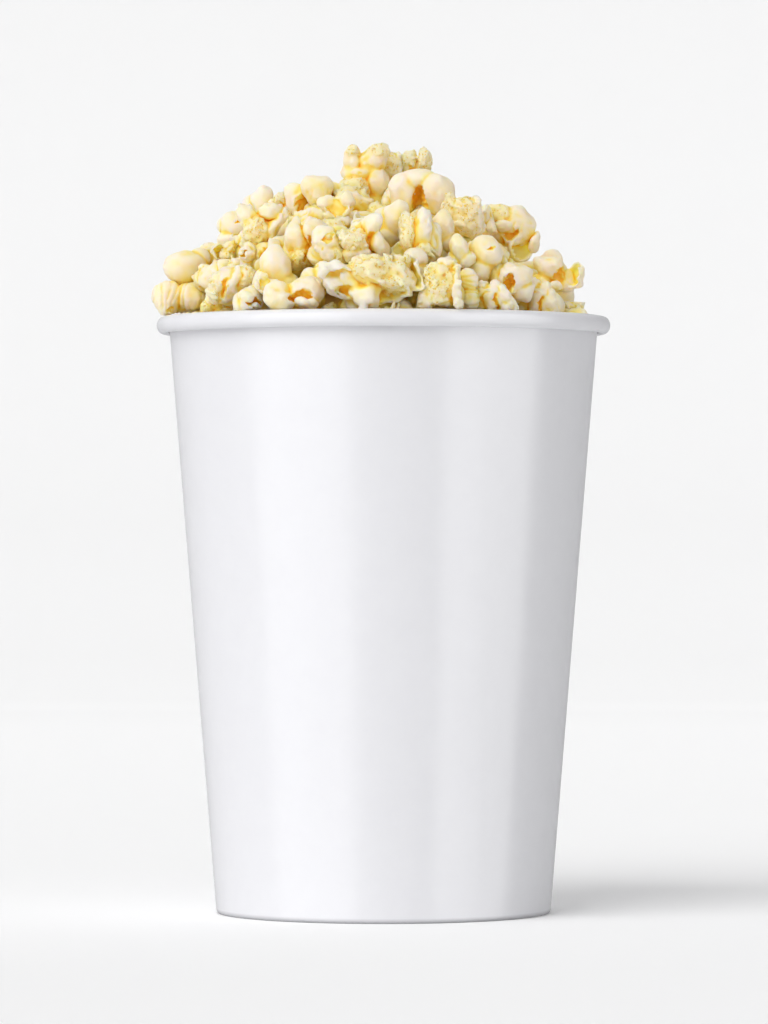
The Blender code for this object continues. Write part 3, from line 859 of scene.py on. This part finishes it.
def foot_fold(steps):
    """The board's middle line round the folded foot, from the wall under to the hem."""
    outer = FOOT_RADIUS - BOARD / 2
    inner = outer - 2 * (BOARD + FOLD_GAP)
    bottom = BOARD / 2
    quarter = [pi / 2 * i / steps for i in range(steps + 1)]
    down, up = [], []
    for a in quarter:
        down.append(Vector((outer - 0.0010 * (1 - cos(a)), bottom + 0.0018 * (1 - sin(a)))))
        up.append(Vector((inner + 0.0005 * (1 - sin(a)), bottom + 0.0011 * (1 - cos(a)))))
    return down + up


def lap_lift(bearing):
    """How far the wall's outer layer stands out where its two ends lap, falling away round the tub."""
    past = (bearing - LAP_BEARING) % (2 * pi)
    return LAP_STEP * max(0.0, 1 - past / LAP_FADE) ** 1.5


def turned_sheet(name, outline, lapped=False):
    """A sheet turned about the tub's axis, with a step in its outer face if the board laps."""
    bearings = [2 * pi * i / TURN_STEPS for i in range(TURN_STEPS)]
    if lapped:
        clear = [b for b in bearings if abs(b - LAP_BEARING) > 0.01]
        bearings = sorted(clear + [LAP_BEARING - 0.0008, LAP_BEARING])
    corners = []
    for bearing in bearings:
        lift = lap_lift(bearing) if lapped else 0.0
        for p in outline:
            outside = p.x > wall_radius(p.y) - BOARD * 0.6
            radius = p.x + (lift if outside and lapped else 0.0)
            corners.append((radius * cos(bearing), radius * sin(bearing), p.y))
    n, m = len(outline), len(bearings)
    faces = []
    for a in range(m):
        b = (a + 1) % m
        for k in range(n):
            after = (k + 1) % n
            faces.append((a * n + k, a * n + after, b * n + after, b * n + k))
    mesh = new_mesh(name, np.array(corners), [np.array(faces)])
    mesh.shade_smooth()
    mesh.set_sharp_from_angle(angle=radians(50))
    return link(bpy.data.objects.new(name, mesh))


def make_wall():
    curl = rim_curl(30)[::-1]
    fold = foot_fold(6)
    hem_radius = FOOT_RADIUS - BOARD / 2 - 2 * (BOARD + FOLD_GAP)
    hem_end = Vector((hem_radius + WALL_SLOPE * HEM_TOP, HEM_TOP))
    straight = [curl[-1].lerp(fold[0], t / 6) for t in range(1, 6)]
    return turned_sheet("board_wall", sheet_outline(curl + straight + fold + [hem_end], BOARD), lapped=True)


def make_base():
    middle = FOOT_RADIUS - BOARD / 2 - (BOARD + FOLD_GAP)
    skirt_end = Vector((middle + WALL_SLOPE * BASE_SKIRT_BOTTOM, BASE_SKIRT_BOTTOM))
    bend = 0.0008
    edge = middle + WALL_SLOPE * (BASE_LEVEL - bend)
    turns = [pi / 2 * i / 5 for i in range(6)]
    corner = []
    for a in turns:
        corner.append(Vector((edge - bend * (1 - cos(a)), BASE_LEVEL - bend * (1 - sin(a)))))
    rings = [Vector((r, BASE_LEVEL)) for r in (0.0004, 0.02, 0.04)]
    return turned_sheet("board_base", sheet_outline(rings + corner[::-1] + [skirt_end], BOARD))


# Finishes


def new_group(name, inputs, outputs):
    """A shader node group with named sockets: (name, kind, default) in, (name, kind) out."""
    tree = bpy.data.node_groups.new(name, "ShaderNodeTree")
    for label, kind, default in inputs:
        socket = tree.interface.new_socket(label, in_out="INPUT", socket_type="NodeSocket" + kind)
        socket.default_value = default
    for label, kind in outputs:
        tree.interface.new_socket(label, in_out="OUTPUT", socket_type="NodeSocket" + kind)
    return tree, tree.nodes.new("NodeGroupInput"), tree.nodes.new("NodeGroupOutput")


class Wiring:
    """Short ways to add and join nodes in one tree."""

    def __init__(self, tree):
        self.tree = tree

    def node(self, kind, settings=None, **inputs):
        made = self.tree.nodes.new("ShaderNode" + kind)
        for key, value in (settings or {}).items():
            setattr(made, key, value)
        for key, value in inputs.items():
            self.put(made.inputs[key.replace("_", " ")], value)
        return made

    def put(self, socket, value):
        if isinstance(value, bpy.types.NodeSocket):
            self.tree.links.new(value, socket)
        else:
            socket.default_value = value

    def noise(self, place, scale, detail=2.0, roughness=0.5):
        settings = dict(Vector=place, Scale=scale, Detail=detail, Roughness=roughness)
        return self.node("TexNoise", **settings).outputs["Fac"]

    def part(self, vector, axis):
        return self.node("SeparateXYZ", Vector=vector).outputs[axis]

    def coat(self, shader, **inputs):
        for key, value in inputs.items():
            self.put(shader.inputs[key.replace("_", " ")], value)

    def maths(self, operation, a, b=0.0, clamp=False):
        made = self.tree.nodes.new("ShaderNodeMath")
        made.operation = operation
        made.use_clamp = clamp
        self.put(made.inputs[0], a)
        self.put(made.inputs[1], b)
        return made.outputs[0]

    def spread(self, value, low, high, to_low=0.0, to_high=1.0):
        made = self.tree.nodes.new("ShaderNodeMapRange")
        for socket, setting in zip(made.inputs, (value, low, high, to_low, to_high)):
            self.put(socket, setting)
        return made.outputs[0]

    def blend(self, share, a, b, way="MIX"):
        made = self.tree.nodes.new("ShaderNodeMix")
        made.data_type = "RGBA"
        made.blend_type = way
        for index, setting in ((0, share), (6, a), (7, b)):
            self.put(made.inputs[index], setting)
        return made.outputs[2]

    def ramp(self, value, stops):
        made = self.tree.nodes.new("ShaderNodeValToRGB")
        while len(made.color_ramp.elements) < len(stops):
            made.color_ramp.elements.new(0.5)
        for element, (place, colour) in zip(made.color_ramp.elements, stops):
            element.position = place
            element.color = (*(colour if isinstance(colour, tuple) else (colour,) * 3), 1.0)
        self.put(made.inputs[0], value)
        return made.outputs[0]


def foam_pores_group():
    """Fine open pores: a mask of the pores, and the height of the foam between them."""
    tree, given, result = new_group(
        "foam_pores",
        [("Place", "Vector", (0, 0, 0)), ("Pitch", "Float", 0.0012), ("Share", "Float", 1.0)],
        [("Pores", "Float"), ("Height", "Float")],
    )
    w = Wiring(tree)
    scale = w.maths("DIVIDE", 1.0, given.outputs["Pitch"])
    place = given.outputs["Place"]
    patchy = w.noise(place, w.maths("MULTIPLY", scale, 0.45))
    reach = w.spread(patchy, 0.38, 0.62, 0.12, 0.46)
    cells = w.node("TexVoronoi", Vector=place, Scale=scale)
    pore = w.maths("MULTIPLY", w.maths("SUBTRACT", reach, cells.outputs["Distance"]), 6.0, True)
    small = w.node("TexVoronoi", Vector=place, Scale=w.maths("MULTIPLY", scale, 1.9))
    inside = w.maths("SUBTRACT", w.maths("MULTIPLY", reach, 0.8), small.outputs["Distance"])
    pit = w.maths("MULTIPLY", inside, 5.0, True)
    pores = w.maths("MULTIPLY", w.maths("MAXIMUM", pore, pit), given.outputs["Share"])
    tree.links.new(pores, result.inputs["Pores"])
    tree.links.new(w.maths("SUBTRACT", 1.0, pores), result.inputs["Height"])
    return tree


def new_material(name):
    material = bpy.data.materials.new(name)
    material.use_nodes = True
    return material, Wiring(material.node_tree), material.node_tree.nodes["Principled BSDF"]


def popped_corn_finish(pores_group):
    """Popped corn: cream lobes, yellow creases and amber hollows deepened with painted shade, and pores on
    its burst foam.
    """
    material, w, shader = new_material("popped_corn")
    field = {}
    for name in ("painted_shade_and_amber", "foam", "tone", "depth"):
        field[name] = w.node("Attribute", {"attribute_name": name}).outputs["Fac"]
    place = w.node("TexCoord").outputs["Object"]
    blotch = w.noise(place, 95.0, 3.0)
    cloud = w.noise(place, 48.0, 2.0)
    butter = w.spread(cloud, 0.46, 0.66, 0.0, 0.13)
    amber_butter_and_shade = w.maths("ADD", field["painted_shade_and_amber"], w.maths("MULTIPLY", w.maths("SUBTRACT", blotch, 0.5), 0.35))
    amber_butter_and_shade = w.maths("ADD", amber_butter_and_shade, butter)
    # Painted shade: grains lying deep in the heap are pushed towards the dark amber end of the ramp.
    amber_butter_and_shade = w.maths("ADD", amber_butter_and_shade, w.maths("MULTIPLY", field["depth"], 0.62), True)
    # Pale cream where the value is low to deep amber where it is high; the amber end carries painted shade
    # from creases, gaps and deep grains as well as the amber of hollows.
    colour = w.ramp(amber_butter_and_shade, [
        (0.00, (0.93, 0.825, 0.72)), (0.18, (0.945, 0.82, 0.585)), (0.34, (0.97, 0.80, 0.35)),
        (0.52, (0.98, 0.76, 0.19)), (0.78, (0.98, 0.72, 0.12)), (1.00, (0.97, 0.56, 0.035)),
    ])
    tint = w.ramp(field["tone"], [
        (0.0, (1.0, 1.0, 1.0)), (0.5, (1.0, 0.99, 0.95)), (1.0, (0.995, 0.965, 0.86)),
    ])
    colour = w.blend(1.0, colour, tint, "MULTIPLY")
    foam = w.node("Group", {"node_tree": pores_group}, Place=place, Pitch=0.0012, Share=field["foam"])
    colour = w.blend(w.maths("MULTIPLY", field["foam"], 0.45), colour, (0.945, 0.80, 0.39, 1))
    colour = w.blend(w.maths("MULTIPLY", foam.outputs["Pores"], 0.90), colour, (0.90, 0.62, 0.07, 1))
    skin = w.noise(place, 900.0, 3.0)
    height = w.maths("ADD", foam.outputs["Height"], w.maths("MULTIPLY", skin, 0.12))
    bump = w.node("Bump", Height=height, Distance=0.0006, Strength=0.8)
    w.coat(shader, Base_Color=colour, Normal=bump.outputs[0], Specular_IOR_Level=0.30)
    w.coat(shader, Roughness=w.spread(blotch, 0.3, 0.7, 0.42, 0.62), Subsurface_Weight=0.82)
    w.coat(shader, Subsurface_Radius=(1.0, 0.74, 0.34), Subsurface_Scale=0.0055)
    return material


def core_finish():
    """Painted shade: a dark amber crumb deep between the grains, coloured to stand in for the shade in the
    gaps.
    """
    material, w, shader = new_material("painted_shade_crumb")
    place = w.node("TexCoord").outputs["Object"]
    blotch = w.noise(place, 120.0, 4.0)
    # Painted shade: the crumb's dark amber stands for the shadow deep in the gaps between grains.
    gap_shade_colour = w.ramp(blotch, [(0.3, (0.78, 0.46, 0.09)), (0.7, (0.92, 0.66, 0.22))])
    w.coat(shader, Base_Color=gap_shade_colour, Roughness=0.75)
    return material


def board_finish():
    """White coated board: satin, with a faint mottle of fibres under the coat, and painted shade darkening
    its foot.
    """
    material, w, shader = new_material("white_board")
    place = w.node("TexCoord").outputs["Object"]
    fibre = w.noise(place, 700.0, 4.0, 0.6)
    cloud = w.noise(place, 110.0, 5.0, 0.65)
    paper = w.ramp(cloud, [(0.3, (0.795, 0.794, 0.819)), (0.7, (0.81, 0.81, 0.833))])
    # Painted shade: the board darkens to a deep grey over its lowest two millimetres, standing in for the
    # contact shadow under the folded foot.
    painted_foot_shade = w.spread(w.part(place, "Z"), 0.0002, 0.0021, 0.75, 0.0)
    w.coat(shader, Base_Color=w.blend(painted_foot_shade, paper, (0.34, 0.34, 0.36, 1)))
    w.coat(shader, Roughness=w.spread(cloud, 0.3, 0.7, 0.22, 0.26), IOR=1.5)
    height = w.maths("ADD", w.maths("MULTIPLY", fibre, 0.7), w.maths("MULTIPLY", cloud, 0.3))
    bump = w.node("Bump", Height=height, Distance=0.00006, Strength=0.3)
    w.coat(shader, Normal=bump.outputs[0])
    return material


# The studio


def make_camera():
    camera = link(bpy.data.objects.new("camera", bpy.data.cameras.new("camera")))
    camera.location = (0.0, -CAMERA_DISTANCE, CAMERA_LEVEL)
    camera.rotation_euler = (pi / 2, 0.0, 0.0)
    camera.data.lens = 191.0
    camera.data.shift_y = 0.0186
    camera.data.shift_x = 0.0005
    camera.data.clip_end = 60.0
    bpy.context.scene.camera = camera


def pale_paper_finish():
    """Matt paper, a little deeper in the bend and behind, so that floor and wall look alike."""
    material, w, shader = new_material("pale_paper")
    upward = w.part(w.node("NewGeometry").outputs["Normal"], "Z")
    shade = w.ramp(upward, [
        (0.00, (0.98, 0.98, 0.977)), (0.42, (0.855, 0.855, 0.852)), (0.87, (0.863, 0.863, 0.861)),
        (0.97, (0.91, 0.91, 0.908)), (0.985, (0.932, 0.932, 0.93)), (0.996, (0.955, 0.955, 0.953)),
        (1.00, (0.99, 0.99, 0.988)),
    ])
    place = w.node("TexCoord").outputs["Object"]
    back = w.spread(w.part(place, "Y"), 0.0, 4.0)
    far = w.ramp(back, [
        (0.10, 1.0), (0.35, 0.98), (0.48, 0.959),
        (0.58, 0.928), (0.66, 0.948), (0.78, 0.982),
        (0.92, 1.0),
    ])
    paper = w.blend(1.0, shade, far, "MULTIPLY")
    w.coat(shader, Base_Color=paper, Roughness=1.0, Specular_IOR_Level=0.0)
    return material


def make_sweep():
    """A pale floor that bends up into a wall behind."""
    floor_end, bend, steps, half_width, top = 2.4, 1.2, 24, 30.0, 4.0
    profile = [(-half_width, 0.0), (floor_end, 0.0)]
    for i in range(1, steps + 1):
        a = pi / 2 * i / steps
        profile.append((floor_end + bend * sin(a), bend * (1 - cos(a))))
    profile.append((floor_end + bend, top))
    corners = [(x, y, z) for x in (-half_width, half_width) for y, z in profile]
    n = len(profile)
    faces = np.array([(i, n + i, n + i + 1, i + 1) for i in range(n - 1)])
    mesh = new_mesh("sweep", np.array(corners), [faces])
    mesh.shade_smooth()
    mesh.materials.append(pale_paper_finish())
    sweep = link(bpy.data.objects.new("sweep", mesh))
    sweep.visible_glossy = False


def lamp_at(name, kind, place, target):
    """A lamp at a place in metres, turned towards target."""
    lamp = link(bpy.data.objects.new(name, bpy.data.lights.new(name, kind)))
    lamp.location = place
    lamp.rotation_euler = (Vector(target) - lamp.location).to_track_quat("-Z", "Y").to_euler()
    return lamp


def softbox(name, bearing, width, height, level, away, power):
    """A large soft light that only shows as a sheen on the board."""
    a = radians(bearing)
    lamp = lamp_at(name, "AREA", (sin(a) * away, -cos(a) * away, level), (0, 0, level))
    lamp.data.shape = "RECTANGLE"
    lamp.data.size, lamp.data.size_y, lamp.data.energy = width, height, power
    lamp.visible_diffuse = False
    lamp.visible_camera = False


def wide_light(name, bearing, tilt, angle, strength):
    """A light as wide as a large screen far away, at a bearing and a tilt in degrees."""
    a, b = radians(bearing), radians(tilt)
    lamp = lamp_at(name, "SUN", (sin(a) * cos(b), -cos(a) * cos(b), sin(b)), (0, 0, 0))
    lamp.data.angle = radians(angle)
    lamp.data.energy = strength
    lamp.visible_glossy = False


def make_lights():
    world = bpy.data.worlds.new("studio")
    world.use_nodes = True
    bpy.context.scene.world = world
    sky = world.node_tree.nodes["Background"]
    sky.inputs[0].default_value = (0.985, 0.985, 1.0, 1)
    w = Wiring(world.node_tree)
    seen = w.node("LightPath").outputs["Is Camera Ray"]
    side = w.part(w.node("TexCoord").outputs["Generated"], "X")
    glow = w.spread(side, -0.9, 0.9, 0.58, 0.33)
    w.put(sky.inputs[1], w.maths("MAXIMUM", glow, w.maths("MULTIPLY", seen, 0.92)))
    wide_light("key", -38, 42, 50, 1.66)
    wide_light("fill", 8, 10, 70, 0.28)
    softbox("left_box", -46, 1.5, 2.6, 0.35, 1.4, 24)
    softbox("right_box", 62, 1.5, 2.6, 0.35, 1.4, 38)


# Putting it together


def build_tub():
    board = board_finish()
    for obj, node in ((make_wall(), "tub_wall"), (make_base(), "tub_base")):
        obj.data.materials.append(board)
        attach(obj, "root")
        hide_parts(node)


def build_popcorn():
    rng = np.random.default_rng(3)
    fine, plain = ((7400, 1600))
    popped = {name: pop(form, fine, plain) for name, form in FORMS.items()}
    laid = laid_grains()
    grains = laid + spread_grains(laid, rng)
    settle(grains, popped)
    corn = popped_corn_finish(foam_pores_group())
    members = {}
    for grain in grains:
        hidden = grain["layer"] in ("between", "under")
        key = grain["layer"] if hidden else FORMS[grain["form"]]["family"]
        members.setdefault(key, []).append(grain)
    pieces = []
    for key in ("smooth", "torn", "curled", "folded", "between", "under"):
        pieces.append(joined_grains("popcorn_" + key, members[key], popped, rng))
    for piece in pieces:
        piece.data.materials.append(corn)
    core = make_core()
    core.data.materials.append(core_finish())
    for piece in pieces + [core]:
        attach(piece, "root")
        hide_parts("popcorn_heap")


bpy.context.scene.view_settings.view_transform = "Standard"
make_camera()
make_sweep()
make_lights()
build_tub()
build_popcorn()
